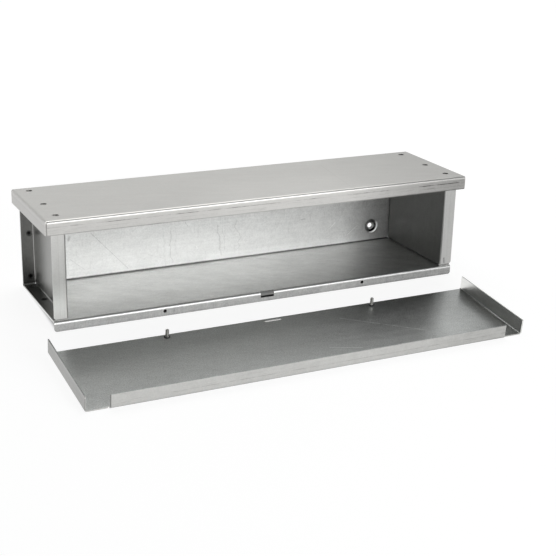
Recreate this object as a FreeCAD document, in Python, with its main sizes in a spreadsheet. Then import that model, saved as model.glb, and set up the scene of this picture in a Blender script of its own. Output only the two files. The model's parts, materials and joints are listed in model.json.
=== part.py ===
"""Rain-tight sheet-steel wireway trough, standing on a floor with its screw cover taken off.

Millimetres, +Z up. X runs along the trough, Y from the open front to the back. The trough stands on
the edge of its front lip and on its lower back bend, so it leans back a few degrees. The cover lies
in front of it, inner face up, on its front bend and its two screw heads. The origin is on the floor,
in the middle of the ground that both cover.
"""
import FreeCAD, Part
import os
import Sketcher

SIZES = (
    ("body_length", 609.6, "length of the trough body"),
    ("body_depth", 152.4, "jamb face to the outer face of the back wall"),
    ("body_rise", 140.4, "underside of the floor to the upper face of the top"),
    ("lip_drop", 12.0, "underside of the floor to the edge of the front lip"),
    ("gauge", 1.6, "thickness of every sheet"),
    ("bend_inner", 1.6, "inner radius of every bend"),
    ("jamb_width", 19.05, "width of an end plate's flanges"),
    ("relief_clearance", 0.2, "notch between two flanges of an end plate, beyond their bends"),
    ("jamb_corner", 3.0, "radius of a jamb's lower outer corner"),
    ("lip_corner", 3.5, "radius of the lip's two lower corners"),
    ("drip_gap_end", 5.1, "gap between the fitted cover's end flange and the top's end flange"),
    ("drip_gap_front", 6.3, "gap between the fitted cover and the top's front flange"),
    ("lap_clearance", 0.1, "gap between the back wall and the start of the top's rear bend"),
    ("shield_flange", 19.05, "depth of the top's flanges"),
    ("shield_relief", 2.0, "side of the open notch at the top's corners"),
    ("mount_from_end", 50.8, "wall mounting hole to the body's end"),
    ("mount_from_floor", 25.4, "lower wall mounting hole to the floor's underside"),
    ("mount_below_flange", 12.7, "upper wall mounting hole to the edge of the top's rear flange"),
    ("mount_hole", 8.0, "diameter of a wall mounting hole"),
    ("dimple_mouth", 19.0, "diameter of the dish round a mounting hole at the wall"),
    ("dimple_land", 12.0, "diameter of the dish's flat bottom"),
    ("dimple_depth", 4.0, "how far a dish stands out behind the wall"),
    ("dimple_offset", 0.7, "how much wider the dish is on its outer face"),
    ("screw_spacing", 304.8, "distance between the two cover screws"),
    ("screw_edge", 7.0, "cover screw to the cover's lower edge"),
    ("lip_hole_clearance", 0.05, "gap between a screw and its hole in the lip, all round"),
    ("notch_width", 20.4, "width of the seal notch in the lip"),
    ("notch_drop", 6.4, "seal notch below the floor's underside"),
    ("notch_back", 4.6, "seal notch from the lip's face into the floor"),
    ("clinch_margin", 14.5, "outer clinch points of a row to the front, rear, underside or top"),
    ("clinch_offset", 7.0, "middle clinch point of a row off the middle of the row"),
    ("clinch_from_end", 11.0, "clinch point to the body's end"),
    ("clinch_punch", 8.4, "diameter of a clinch point's recess"),
    ("clinch_button", 9.6, "diameter of a clinch point's button"),
    ("clinch_skin", 0.4, "sheet left under a clinch point's recess"),
    ("clinch_rise", 0.4, "how far a clinch point's button stands out"),
    ("cover_clearance", 1.2, "gap between the body's end and the cover's end flange"),
    ("cover_headroom", 1.2, "gap between the fitted cover and the top"),
    ("cover_end_flange", 21.0, "height of the cover's end flanges"),
    ("cover_long_flange", 19.0, "height of the cover's long flange"),
    ("long_flange_clearance", 8.15, "gap between the fitted long flange and a jamb's inner edge"),
    ("flange_relief", 1.6, "gap in the panel at each end of the long flange"),
    ("cover_hole_clearance", 0.3, "gap between a screw and its hole in the cover, all round"),
    ("slot_length", 24.4, "length of the cover's seal slot"),
    ("slot_width", 3.2, "width of the cover's seal slot"),
    ("slot_edge", 6.6, "middle of the seal slot to the cover's lower edge"),
    ("slot_corner", 0.8, "corner radius of the seal slot"),
    ("screw_size", 4.8, "diameter of a screw's shank"),
    ("screw_length", 12.7, "length of a screw under its head"),
    ("screw_point", 0.7, "chamfer at a screw's tip"),
    ("head_size", 9.4, "diameter of a screw's head"),
    ("head_side", 1.2, "straight side of a screw's head"),
    ("head_bevel", 1.7, "bevel round the top of a screw's head"),
    ("drive_width", 1.2, "width of the slot in a screw's head"),
    ("drive_depth", 1.3, "depth of the slot in a screw's head"),
    ("retainer_size", 8.2, "diameter of a screw retainer"),
    ("retainer_height", 1.0, "height of a screw retainer"),
    ("retainer_clearance", 0.1, "gap between a retainer and its screw, all round"),
    ("cover_gap", 62.0, "lip's face to the cover's lower edge, along the floor"),
    ("cover_shift", -24.0, "middle of the cover from the middle of the trough, along X"),
)

# Sizes that follow from the ones above, written for the sheet named sizes.
BEND_OUTER = "(sizes.bend_inner + sizes.gauge)"
HALF_LENGTH = "sizes.body_length / 2"
WALL_TOP = "(sizes.body_rise - sizes.gauge)"
WEB_PLANE = "(sizes.body_length / 2 - sizes.jamb_width)"
CORNER_RELIEF = f"({BEND_OUTER} + sizes.relief_clearance)"
OVERHANG_END = "(sizes.cover_clearance + 2 * sizes.gauge + sizes.drip_gap_end)"
OVERHANG_FRONT = "(2 * sizes.gauge + sizes.drip_gap_front)"
SHIELD_HALF = f"(sizes.body_length / 2 + {OVERHANG_END})"
SHIELD_BACK = f"(sizes.body_depth + {BEND_OUTER} + sizes.lap_clearance)"
SHIELD_EDGE = "(sizes.body_rise - sizes.shield_flange)"
COVER_WIDTH = "(sizes.body_length + 2 * sizes.cover_clearance + 2 * sizes.gauge)"
COVER_DEPTH = "(sizes.lip_drop + sizes.body_rise - sizes.gauge - sizes.cover_headroom)"
FLANGE_INSET = "(sizes.gauge + sizes.cover_clearance + sizes.jamb_width + sizes.long_flange_clearance)"
LIP_HOLE = "(sizes.screw_size + 2 * sizes.lip_hole_clearance)"
COVER_HOLE = "(sizes.screw_size + 2 * sizes.cover_hole_clearance)"
HEAD_HEIGHT = "(sizes.head_side + sizes.head_bevel)"
HEAD_FLAT = "(sizes.head_size / 2 - sizes.head_bevel)"
CLINCH_DEPTH = "(sizes.gauge - sizes.clinch_skin)"
CLINCH_X = "(sizes.body_length / 2 - sizes.clinch_from_end)"
SIDES = (("left", -1), ("right", 1))

# Side of its row's middle on which the middle clinch point stands.
FORWARD = -1
REARWARD = 1
UPWARD = 1

# Points nearer to each other than this are the same point, in millimetres.
TOUCH = 1e-6

doc = FreeCAD.newDocument("wireway_trough")
sheet = doc.addObject("Spreadsheet::Sheet", "sizes")
for row, (alias, value, meaning) in enumerate(SIZES, start=1):
    sheet.set(f"A{row}", meaning)
    sheet.set(f"B{row}", str(value))
    sheet.setAlias(f"B{row}", alias)
doc.recompute()


def number(expression):
    """Value of an expression of the sheet, in millimetres or degrees."""
    value = sheet.evalExpression(expression)
    return float(getattr(value, "Value", value))


def new_body(label):
    """A body whose label names its file."""
    body = doc.addObject("PartDesign::Body", label)
    body.Label = label
    return body


def new_sketch(body, name, role, along="0", shift_u="0", shift_v="0"):
    """A sketch on one of the body's origin planes, moved along the plane's normal and across it."""
    plane = next(item for item in body.Origin.OriginFeatures if item.Role == role)
    sketch = body.newObject("Sketcher::SketchObject", f"{body.Name}_{name}")
    sketch.AttachmentSupport = [(plane, "")]
    sketch.MapMode = "FlatFace"
    sketch.setExpression("AttachmentOffset.Base.x", shift_u)
    sketch.setExpression("AttachmentOffset.Base.y", shift_v)
    sketch.setExpression("AttachmentOffset.Base.z", along)
    return sketch


def bind(sketch, constraint, expression):
    """Add a constraint whose value follows the sheet."""
    index = sketch.addConstraint(constraint)
    sketch.setExpression(f"Constraints[{index}]", expression)


def draw_outline(sketch, sides):
    """Draw a closed outline of level and upright sides with rounded or square corners.

    Each side is a letter, V for upright or H for level, its coordinate, and the radius of the corner
    at its end, or None. The coordinates and radii are expressions of the sheet.
    """
    count = len(sides)
    places = [number(place) for _, place, _ in sides]
    radii = [number(radius) if radius else 0.0 for _, _, radius in sides]
    corners = []
    for i in range(count):
        j = (i + 1) % count
        upright = i if sides[i][0] == "V" else j
        level = j if upright == i else i
        corners.append(FreeCAD.Vector(places[upright], places[level], 0))
    lines, arcs = [], []
    for i in range(count):
        start, end = corners[i - 1], corners[i]
        way = (end - start).normalize()
        low, high = start + way * radii[i - 1], end - way * radii[i]
        lines.append(sketch.addGeometry(Part.LineSegment(low, high)))
    for i in range(count):
        if not radii[i]:
            arcs.append(None)
            continue
        into = (corners[i] - corners[i - 1]).normalize()
        out = (corners[(i + 1) % count] - corners[i]).normalize()
        centre = corners[i] - into * radii[i] + out * radii[i]
        turns_left = into.cross(out).z > 0
        begin = corners[i] - into * radii[i] if turns_left else corners[i] + out * radii[i]
        finish = corners[i] + out * radii[i] if turns_left else corners[i] - into * radii[i]
        circle = Part.Circle(centre, FreeCAD.Vector(0, 0, 1), radii[i])
        arc = Part.ArcOfCircle(circle, circle.parameter(begin), circle.parameter(finish))
        arcs.append((sketch.addGeometry(arc), 1 if turns_left else 2, 2 if turns_left else 1))
    for i, (letter, place, radius) in enumerate(sides):
        following = lines[(i + 1) % count]
        sketch.addConstraint(Sketcher.Constraint("Vertical" if letter == "V" else "Horizontal", lines[i]))
        if arcs[i] is None:
            sketch.addConstraint(Sketcher.Constraint("Coincident", lines[i], 2, following, 1))
        else:
            arc, arc_start, arc_end = arcs[i]
            sketch.addConstraint(Sketcher.Constraint("Tangent", lines[i], 2, arc, arc_start))
            sketch.addConstraint(Sketcher.Constraint("Tangent", arc, arc_end, following, 1))
            bind(sketch, Sketcher.Constraint("Radius", arc, radii[i]), radius)
        distance = "DistanceX" if letter == "V" else "DistanceY"
        bind(sketch, Sketcher.Constraint(distance, -1, 1, lines[i], 1, places[i]), place)


def draw_rectangle(sketch, low_u, high_u, low_v, high_v, radius=None):
    """Draw an upright rectangle between four coordinates."""
    draw_outline(sketch, (
        ("H", low_v, radius),
        ("V", high_u, radius),
        ("H", high_v, radius),
        ("V", low_u, radius),
    ))


def draw_polygon(sketch, points):
    """Draw a closed polygon through points given as expressions of the sheet."""
    count = len(points)
    spots = [FreeCAD.Vector(number(u), number(v), 0) for u, v in points]
    lines = [sketch.addGeometry(Part.LineSegment(spots[i], spots[(i + 1) % count])) for i in range(count)]
    for i, (u, v) in enumerate(points):
        sketch.addConstraint(Sketcher.Constraint("Coincident", lines[i - 1], 2, lines[i], 1))
        bind(sketch, Sketcher.Constraint("DistanceX", -1, 1, lines[i], 1, spots[i].x), u)
        bind(sketch, Sketcher.Constraint("DistanceY", -1, 1, lines[i], 1, spots[i].y), v)


def draw_circles(sketch, centres, diameter):
    """Draw equal circles about the given centres."""
    for u, v in centres:
        centre = FreeCAD.Vector(number(u), number(v), 0)
        circle = Part.Circle(centre, FreeCAD.Vector(0, 0, 1), number(diameter) / 2)
        index = sketch.addGeometry(circle)
        bind(sketch, Sketcher.Constraint("Diameter", index, number(diameter)), diameter)
        bind(sketch, Sketcher.Constraint("DistanceX", -1, 1, index, 3, centre.x), u)
        bind(sketch, Sketcher.Constraint("DistanceY", -1, 1, index, 3, centre.y), v)


def extrude(body, kind, sketch, length, reverse=False, both_ways=False):
    """Pad or pocket a sketch, and check that it changes the body the right way."""
    doc.recompute()
    before = body.Shape.Volume if body.Tip else 0.0
    feature = body.newObject(f"PartDesign::{kind}", f"{sketch.Name}_{kind.lower()}")
    feature.Profile = sketch
    feature.setExpression("Length", length)
    feature.Reversed = reverse
    feature.Midplane = both_ways
    doc.recompute()
    grown = body.Shape.Volume - before
    if kind == "Pad":
        idle = grown <= 0
    else:
        idle = grown >= 0
    if idle:
        raise RuntimeError(f"{feature.Name} does not change {body.Label}")
    return feature


def turn(body, sketch, name):
    """Turn a sketch right round its upright axis."""
    doc.recompute()
    turned = body.newObject("PartDesign::Revolution", f"{body.Name}_{name}")
    turned.Profile = sketch
    turned.ReferenceAxis = (sketch, ["V_Axis"])
    turned.Angle = 360
    doc.recompute()


def round_edges(body, name, chosen, radius):
    """Fillet the edges of the body that the test picks."""
    doc.recompute()
    solid = body.Tip
    edges = [f"Edge{i}" for i, edge in enumerate(solid.Shape.Edges, start=1) if chosen(edge)]
    fillet = body.newObject("PartDesign::Fillet", f"{body.Name}_{name}")
    fillet.Base = (solid, edges)
    fillet.setExpression("Radius", radius)
    doc.recompute()


def bend_tray(body, axis, bent, opened):
    """Turn a padded block into a bent sheet tray: bends round one face, open at the opposite face."""
    round_edges(body, "bends", lambda edge: all(
        abs(vertex.Point[axis] - bent) < TOUCH for vertex in edge.Vertexes), BEND_OUTER)
    solid = body.Tip
    mouth = [f"Face{i}" for i, face in enumerate(solid.Shape.Faces, start=1)
             if all(abs(vertex.Point[axis] - opened) < TOUCH for vertex in face.Vertexes)]
    shell = body.newObject("PartDesign::Thickness", f"{body.Name}_sheet")
    shell.Base = (solid, mouth)
    shell.setExpression("Value", "sizes.gauge")
    shell.Reversed = True
    doc.recompute()


def clinch_row(side, span, way):
    """Three clinch points along a flange, as pairs for a sketch with the row along its second axis."""
    row = (
        "sizes.clinch_margin",
        f"{span} / 2 + {way} * sizes.clinch_offset",
        f"{span} - sizes.clinch_margin",
    )
    return [(f"{side} * {CLINCH_X}", along) for along in row]


def clinch_rows(span, way):
    """The clinch points of both ends."""
    return [spot for _, side in SIDES for spot in clinch_row(side, span, way)]


def place(body, base, angle):
    """Turn a body about X and set it down at base."""
    body.setExpression("Placement", "create(<<placement>>; create(<<vector>>; "
                       f"{base[0]}; {base[1]}; {base[2]}); create(<<rotation>>; "
                       f"create(<<vector>>; 1; 0; 0); {angle}))")


def add_dimple(body, name, x, z):
    """Dish pressed towards the rear round a mounting hole, as a turned ring of sheet."""
    ring = new_sketch(body, name, "XY_Plane", along=z, shift_u=x)
    inner = "(sizes.body_depth - sizes.gauge)"
    points = (
        ("sizes.dimple_mouth / 2", inner),
        ("sizes.dimple_land / 2", f"{inner} + sizes.dimple_depth"),
        ("sizes.mount_hole / 2", f"{inner} + sizes.dimple_depth"),
        ("sizes.mount_hole / 2", "sizes.body_depth + sizes.dimple_depth"),
        ("sizes.dimple_land / 2 + sizes.dimple_offset", "sizes.body_depth + sizes.dimple_depth"),
        ("sizes.dimple_mouth / 2 + sizes.dimple_offset", "sizes.body_depth"),
        ("sizes.dimple_mouth / 2", "sizes.body_depth"),
    )
    draw_polygon(ring, points)
    turn(body, ring, f"{name}_ring")


def make_trough_body():
    """Back wall, floor and front lip, bent from one sheet."""
    body = new_body("trough_body")
    section = new_sketch(body, "section", "YZ_Plane")
    draw_outline(section, (
        ("H", "-sizes.lip_drop", None),
        ("V", "sizes.gauge", "sizes.bend_inner"),
        ("H", "0", BEND_OUTER),
        ("V", "sizes.body_depth", None),
        ("H", WALL_TOP, None),
        ("V", "sizes.body_depth - sizes.gauge", "sizes.bend_inner"),
        ("H", "sizes.gauge", BEND_OUTER),
        ("V", "0", None),
    ))
    extrude(body, "Pad", section, "sizes.body_length", both_ways=True)

    lip = number("-sizes.lip_drop")
    end = number(HALF_LENGTH)
    round_edges(body, "lip_corners", lambda edge: edge.BoundBox.XLength < end and all(
        abs(vertex.Z - lip) < TOUCH and abs(abs(vertex.X) - end) < TOUCH
        for vertex in edge.Vertexes), "sizes.lip_corner")

    screw_holes = new_sketch(body, "screw_holes", "XZ_Plane")
    hole_height = "sizes.screw_edge - sizes.lip_drop"
    draw_circles(screw_holes, [(f"{side} * sizes.screw_spacing / 2", hole_height) for _, side in SIDES],
                 LIP_HOLE)
    extrude(body, "Pocket", screw_holes, "sizes.gauge")

    notch = new_sketch(body, "seal_notch", "XZ_Plane")
    draw_rectangle(notch, "-sizes.notch_width / 2", "sizes.notch_width / 2",
                   "-sizes.notch_drop", "sizes.gauge")
    extrude(body, "Pocket", notch, "sizes.notch_back")

    mounts = [(f"{side} * ({HALF_LENGTH} - sizes.mount_from_end)", height)
              for _, side in SIDES
              for height in ("sizes.mount_from_floor", f"{SHIELD_EDGE} - sizes.mount_below_flange")]
    mouths = new_sketch(body, "dimple_mouths", "XZ_Plane", along="sizes.gauge - sizes.body_depth")
    draw_circles(mouths, mounts, "sizes.dimple_mouth")
    extrude(body, "Pocket", mouths, "sizes.gauge")
    for i, (x, z) in enumerate(mounts):
        add_dimple(body, f"dimple_{i}", x, z)

    rear_buttons = new_sketch(body, "rear_buttons", "XZ_Plane", along="-sizes.body_depth")
    draw_circles(rear_buttons, clinch_rows("sizes.body_rise", UPWARD), "sizes.clinch_button")
    extrude(body, "Pad", rear_buttons, "sizes.clinch_rise", reverse=True)
    floor_buttons = new_sketch(body, "floor_buttons", "XY_Plane")
    draw_circles(floor_buttons, clinch_rows("sizes.body_depth", REARWARD), "sizes.clinch_button")
    extrude(body, "Pad", floor_buttons, "sizes.clinch_rise", reverse=True)
    return body


def make_end_plate(name, side):
    """Web with four outward flanges, bent from one sheet; the front flange is the jamb."""
    body = new_body(f"end_plate_{name}")
    block = new_sketch(body, "block", "YZ_Plane", along=f"{side} * {WEB_PLANE}")
    draw_rectangle(block, "0", "sizes.body_depth - sizes.gauge", "sizes.gauge", WALL_TOP)
    extrude(body, "Pad", block, "sizes.jamb_width", reverse=side < 0)
    bend_tray(body, 0, side * number(WEB_PLANE), side * number(HALF_LENGTH))

    reliefs = new_sketch(body, "reliefs", "YZ_Plane", along=f"{side} * {HALF_LENGTH}")
    fronts = ("0", CORNER_RELIEF)
    backs = (f"sizes.body_depth - sizes.gauge - {CORNER_RELIEF}", "sizes.body_depth - sizes.gauge")
    bottoms = ("sizes.gauge", f"sizes.gauge + {CORNER_RELIEF}")
    tops = (f"{WALL_TOP} - {CORNER_RELIEF}", WALL_TOP)
    for across in (fronts, backs):
        for upward in (bottoms, tops):
            draw_rectangle(reliefs, *across, *upward)
    extrude(body, "Pocket", reliefs, "sizes.jamb_width", reverse=side < 0)

    foot = number(f"sizes.gauge + {CORNER_RELIEF}")
    end = number(HALF_LENGTH)
    skin = number("sizes.gauge")
    round_edges(body, "jamb_corner", lambda edge: all(
        abs(vertex.Z - foot) < TOUCH and abs(abs(vertex.X) - end) < TOUCH and vertex.Y < skin + TOUCH
        for vertex in edge.Vertexes), "sizes.jamb_corner")

    floor_punches = new_sketch(body, "floor_punches", "XY_Plane", along="2 * sizes.gauge")
    draw_circles(floor_punches, clinch_row(side, "sizes.body_depth", REARWARD), "sizes.clinch_punch")
    extrude(body, "Pocket", floor_punches, CLINCH_DEPTH)
    rear_punches = new_sketch(body, "rear_punches", "XZ_Plane", along="2 * sizes.gauge - sizes.body_depth")
    draw_circles(rear_punches, clinch_row(side, "sizes.body_rise", UPWARD), "sizes.clinch_punch")
    extrude(body, "Pocket", rear_punches, CLINCH_DEPTH)
    top_buttons = new_sketch(body, "top_buttons", "XY_Plane", along=f"{WALL_TOP} - sizes.gauge")
    draw_circles(top_buttons, clinch_row(side, "sizes.body_depth", FORWARD), "sizes.clinch_button")
    extrude(body, "Pad", top_buttons, "sizes.clinch_rise", reverse=True)
    return body


def make_top_shield():
    """Top with flanges on all four sides, open at the corners, overhanging the front and the ends."""
    body = new_body("top_shield")
    block = new_sketch(body, "block", "XY_Plane", along=SHIELD_EDGE)
    draw_rectangle(block, f"-{SHIELD_HALF}", SHIELD_HALF, f"-{OVERHANG_FRONT}", SHIELD_BACK)
    extrude(body, "Pad", block, "sizes.shield_flange")
    bend_tray(body, 2, number("sizes.body_rise"), number(SHIELD_EDGE))

    reliefs = new_sketch(body, "reliefs", "XY_Plane", along="sizes.body_rise")
    lefts = (f"-{SHIELD_HALF}", f"sizes.shield_relief - {SHIELD_HALF}")
    rights = (f"{SHIELD_HALF} - sizes.shield_relief", SHIELD_HALF)
    fronts = (f"-{OVERHANG_FRONT}", f"sizes.shield_relief - {OVERHANG_FRONT}")
    backs = (f"{SHIELD_BACK} - sizes.shield_relief", SHIELD_BACK)
    for across in (lefts, rights):
        for along in (fronts, backs):
            draw_rectangle(reliefs, *across, *along)
    extrude(body, "Pocket", reliefs, "sizes.shield_flange")

    punches = new_sketch(body, "punches", "XY_Plane", along="sizes.body_rise")
    draw_circles(punches, clinch_rows("sizes.body_depth", FORWARD), "sizes.clinch_punch")
    extrude(body, "Pocket", punches, CLINCH_DEPTH)
    return body


def make_cover():
    """Cover panel, inner face up, with two full-depth end flanges and one long flange at its front."""
    body = new_body("cover")
    half = f"{COVER_WIDTH} / 2"
    section = new_sketch(body, "section", "XZ_Plane")
    draw_outline(section, (
        ("H", "0", BEND_OUTER),
        ("V", half, None),
        ("H", "sizes.cover_end_flange", None),
        ("V", f"{half} - sizes.gauge", "sizes.bend_inner"),
        ("H", "sizes.gauge", "sizes.bend_inner"),
        ("V", f"sizes.gauge - {half}", None),
        ("H", "sizes.cover_end_flange", None),
        ("V", f"-{half}", BEND_OUTER),
    ))
    extrude(body, "Pad", section, f"{COVER_DEPTH} - {BEND_OUTER}")

    flange = new_sketch(body, "long_flange", "YZ_Plane")
    draw_outline(flange, (
        ("V", f"2 * {BEND_OUTER} - {COVER_DEPTH}", None),
        ("H", "sizes.gauge", "sizes.bend_inner"),
        ("V", f"sizes.gauge - {COVER_DEPTH}", None),
        ("H", "sizes.cover_long_flange", None),
        ("V", f"-{COVER_DEPTH}", BEND_OUTER),
        ("H", "0", None),
    ))
    flange_length = f"{COVER_WIDTH} - 2 * {FLANGE_INSET}"
    extrude(body, "Pad", flange, flange_length, both_ways=True)

    reliefs = new_sketch(body, "reliefs", "XY_Plane")
    relief_back = f"2 * {BEND_OUTER} - {COVER_DEPTH}"
    for _, side in SIDES:
        near = f"{side} * ({half} - {FLANGE_INSET})"
        far = f"{side} * ({half} - {FLANGE_INSET} + sizes.flange_relief)"
        draw_rectangle(reliefs, near, far, f"-{COVER_DEPTH}", relief_back)
    extrude(body, "Pocket", reliefs, "sizes.gauge", reverse=True)

    holes = new_sketch(body, "screw_holes", "XY_Plane")
    draw_circles(holes, [(f"{side} * sizes.screw_spacing / 2", "-sizes.screw_edge") for _, side in SIDES],
                 COVER_HOLE)
    extrude(body, "Pocket", holes, "sizes.gauge", reverse=True)
    slot = new_sketch(body, "seal_slot", "XY_Plane")
    draw_rectangle(slot, "-sizes.slot_length / 2", "sizes.slot_length / 2",
                   "-sizes.slot_edge - sizes.slot_width / 2", "sizes.slot_width / 2 - sizes.slot_edge",
                   "sizes.slot_corner")
    extrude(body, "Pocket", slot, "sizes.gauge", reverse=True)
    return body


def make_cover_screw(name, side):
    """Slotted pan-head screw, head under the cover and shank upwards."""
    body = new_body(f"cover_screw_{name}")
    x = f"{side} * sizes.screw_spacing / 2"
    section = new_sketch(body, "section", "XZ_Plane", along="sizes.screw_edge", shift_u=x)
    draw_polygon(section, (
        ("0", f"-{HEAD_HEIGHT}"),
        (HEAD_FLAT, f"-{HEAD_HEIGHT}"),
        ("sizes.head_size / 2", "-sizes.head_side"),
        ("sizes.head_size / 2", "0"),
        ("sizes.screw_size / 2", "0"),
        ("sizes.screw_size / 2", "sizes.screw_length - sizes.screw_point"),
        ("sizes.screw_size / 2 - sizes.screw_point", "sizes.screw_length"),
        ("0", "sizes.screw_length"),
    ))
    turn(body, section, "turned")
    drive = new_sketch(body, "drive", "XY_Plane", along=f"-{HEAD_HEIGHT}", shift_u=x,
                       shift_v="-sizes.screw_edge")
    draw_rectangle(drive, "-sizes.head_size", "sizes.head_size",
                   "-sizes.drive_width / 2", "sizes.drive_width / 2")
    extrude(body, "Pocket", drive, "sizes.drive_depth", reverse=True)
    return body


def make_screw_retainer(name, side):
    """Ring pushed on a screw's shank, on the cover's inner face."""
    body = new_body(f"screw_retainer_{name}")
    ring = new_sketch(body, "ring", "XY_Plane", along="sizes.gauge")
    centre = [(f"{side} * sizes.screw_spacing / 2", "-sizes.screw_edge")]
    draw_circles(ring, centre, "sizes.retainer_size")
    draw_circles(ring, centre, "sizes.screw_size + 2 * sizes.retainer_clearance")
    extrude(body, "Pad", ring, "sizes.retainer_height")
    return body


def resting_angle(rise, run, radius):
    """Angle that brings a foot and a bend of the given radius down on one floor."""
    return f"(acos({radius} / sqrt(({rise}) ^ 2 + ({run}) ^ 2)) - atan(({run}) / ({rise})))"


trough = [make_trough_body(), make_top_shield()]
trough += [make_end_plate(name, side) for name, side in SIDES]
lid = [make_cover()]
lid += [make_cover_screw(name, side) for name, side in SIDES]
lid += [make_screw_retainer(name, side) for name, side in SIDES]

# The trough leans back until its lower back bend meets the floor that the lip's inner edge stands on.
lean = resting_angle(f"{BEND_OUTER} + sizes.lip_drop",
                     f"sizes.body_depth - {BEND_OUTER} - sizes.gauge", BEND_OUTER)
# The cover slopes forward from its screw heads to its front bend.
head_reach = f"(sizes.screw_edge + {HEAD_FLAT})"
slope = resting_angle(f"{BEND_OUTER} + {HEAD_HEIGHT}",
                      f"{COVER_DEPTH} - {BEND_OUTER} - {head_reach}", BEND_OUTER)
rear = (f"(({SHIELD_BACK} - {BEND_OUTER}) * cos({lean})"
        f" + (sizes.body_rise - {BEND_OUTER}) * sin({lean}) + {BEND_OUTER})")
front = (f"(sizes.cover_gap + {COVER_DEPTH} * cos({slope})"
         f" + sizes.cover_long_flange * sin({slope}))")
middle_x = f"(({SHIELD_HALF}) + sizes.cover_shift - {COVER_WIDTH} / 2) / 2"
trough_y = f"(({front}) - ({rear})) / 2"
place(trough[0], (f"-{middle_x}", trough_y,
                  f"sizes.gauge * sin({lean}) + sizes.lip_drop * cos({lean})"), f"-{lean}")
for body in trough[1:]:
    body.setExpression("Placement", f"{trough[0].Name}.Placement")
place(lid[0], (f"sizes.cover_shift - {middle_x}", f"{trough_y} - sizes.cover_gap",
               f"{head_reach} * sin({slope}) + {HEAD_HEIGHT} * cos({slope})"), slope)
for body in lid[1:]:
    body.setExpression("Placement", f"{lid[0].Name}.Placement")
doc.recompute()

for item in doc.Objects:
    if "Invalid" in item.State or "Error" in item.State:
        raise RuntimeError(f"{item.Name} failed: {item.State}")
os.makedirs("parts", exist_ok=True)
for body in trough + lid:
    if body.Shape.isNull() or not body.Shape.isValid() or len(body.Shape.Solids) != 1:
        raise RuntimeError(f"{body.Label} is not one valid solid")
    body.Shape.exportStep(f"parts/{body.Label}.step")
    box = body.Shape.BoundBox
    print(f"{body.Label}: {body.Shape.Volume:.0f} mm3, X {box.XMin:.2f} {box.XMax:.2f}, "
          f"Y {box.YMin:.2f} {box.YMax:.2f}, Z {box.ZMin:.2f} {box.ZMax:.2f}")
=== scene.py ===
"""Looks of a sheet-steel wireway trough that stands open, with its screw cover lying in front of it.

Metres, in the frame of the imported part: X along the trough, Y from its open front to its back, Z up.
"""
from __future__ import annotations

import json
import logging
import math
from dataclasses import dataclass, field
from enum import Enum

import bmesh
import bpy
from mathutils import Matrix, Vector

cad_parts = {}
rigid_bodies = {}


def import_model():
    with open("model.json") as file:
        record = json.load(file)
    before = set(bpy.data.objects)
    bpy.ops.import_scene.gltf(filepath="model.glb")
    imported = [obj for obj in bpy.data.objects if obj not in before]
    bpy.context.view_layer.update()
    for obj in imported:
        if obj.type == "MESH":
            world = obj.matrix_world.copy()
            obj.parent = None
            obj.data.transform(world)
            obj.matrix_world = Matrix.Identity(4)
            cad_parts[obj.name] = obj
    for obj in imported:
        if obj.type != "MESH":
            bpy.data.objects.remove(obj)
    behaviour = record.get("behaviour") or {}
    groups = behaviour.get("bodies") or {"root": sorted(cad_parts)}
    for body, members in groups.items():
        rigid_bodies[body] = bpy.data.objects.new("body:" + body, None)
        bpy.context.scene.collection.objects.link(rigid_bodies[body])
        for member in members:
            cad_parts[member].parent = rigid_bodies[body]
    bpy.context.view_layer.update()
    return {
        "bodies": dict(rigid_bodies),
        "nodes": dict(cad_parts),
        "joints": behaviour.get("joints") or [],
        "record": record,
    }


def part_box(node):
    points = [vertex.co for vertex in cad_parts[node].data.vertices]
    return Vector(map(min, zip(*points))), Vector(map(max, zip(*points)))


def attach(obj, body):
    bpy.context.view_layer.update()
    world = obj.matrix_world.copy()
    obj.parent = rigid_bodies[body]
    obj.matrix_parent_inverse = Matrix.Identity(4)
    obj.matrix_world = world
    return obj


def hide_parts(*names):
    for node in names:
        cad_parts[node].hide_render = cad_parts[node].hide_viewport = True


LOG = logging.getLogger("wireway_trough")
BODY = "root"
IMAGE_SIDE_PX = 556
# Vertices nearer than this are one, and a vertex this near to a plane lies on it.
MERGE_DISTANCE = 1e-7
NEAR = 1e-6
# Angle between two faces from which their edge is sharp.
CREASE = math.radians(32.0)
# Range that most of a noise pattern lies in, and a tighter one for patterns of several noises.
NOISE_SPAN = (0.3, 0.7)
MIXED_SPAN = (0.34, 0.66)
# Share of a face's normal that points up or down, from an upright face to a level one.
LEVEL_SPAN = (0.3, 0.7)
# Share of a mark's half width that has its full strength.
MARK_CORE = 0.3
# Distance between the two ends of a mark that is a spot.
SPOT_LENGTH = 0.0001
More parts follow.
